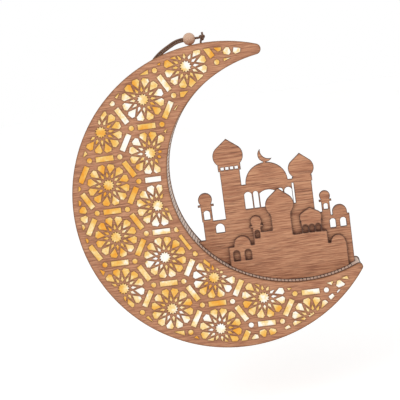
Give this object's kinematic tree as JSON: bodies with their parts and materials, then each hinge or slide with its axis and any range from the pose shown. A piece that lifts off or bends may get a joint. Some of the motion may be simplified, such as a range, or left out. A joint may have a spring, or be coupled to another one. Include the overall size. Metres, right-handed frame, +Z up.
{
  "type": "eid crescent ornament",
  "caption": "Hanging crescent light box in laser-cut plywood with a fretwork front, kerf-bent walls and a layered mosque silhouette in its hollow, lit by battery string lights.",
  "frame": {"origin": "centre of the crescent's outer circle, on the rear face that lies against the wall", "axes": "+Y out of the rear face into the wall, so the front faces -Y; +Z up with the mosque upright; +X to the viewer's right, the way the crescent opens"},
  "size_m": [0.2227, 0.03, 0.2536],
  "materials": {
    "plywood": "clear satin",
    "plywood_edge": "raw laser-cut",
    "plywood_inside": "raw",
    "tray_plastic": "matte",
    "cover_plastic": "matte",
    "cell_jacket": "satin",
    "contact_steel": "plated",
    "switch_plastic": "matte",
    "slider_plastic": "matte",
    "resistor_body": "lacquered",
    "screw_steel": "zinc plated",
    "wire_enamel": "enamelled",
    "led_resin": "clear resin, lit",
    "cord": "waxed",
    "bead_wood": "sanded",
    "diffuser_film": "frosted"
  },
  "bodies": {
    "box": {"front_fretwork": "plywood", "back_plate": "plywood_inside", "outer_wall": "plywood", "inner_wall": "plywood_edge", "mosque_rear_layer": "plywood", "mosque_front_layer": "plywood", "battery_tray": "tray_plastic", "battery_cells": "cell_jacket", "contact_bridge": "contact_steel", "contact_terminals": "contact_steel", "switch_body": "switch_plastic", "series_resistor": "resistor_body", "tray_screws": "screw_steel", "led_wire": "wire_enamel", "led_beads": "led_resin", "cord_strand_upper": "cord", "cord_strand_lower": "cord", "end_knot": "cord", "stopper_knot": "cord", "diffuser_film": "diffuser_film"},
    "cover": {"battery_cover": "cover_plastic"},
    "slider": {"switch_slider": "slider_plastic"},
    "bead": {"hanging_bead": "bead_wood"}
  },
  "joints": [
    {"name": "cover_lift", "type": "slide", "parent": "box", "child": "cover", "axis": [0, 1, 0], "range_m": [0, 0.03]},
    {"name": "switch_slide", "type": "slide", "parent": "box", "child": "slider", "axis": [1, 0, 0], "range_m": [-0.0022, 0]},
    {"name": "bead_slide", "type": "slide", "parent": "box", "child": "bead", "axis": [1, 0, 0], "range_m": [-0.0015, 0.0015]}
  ]
}
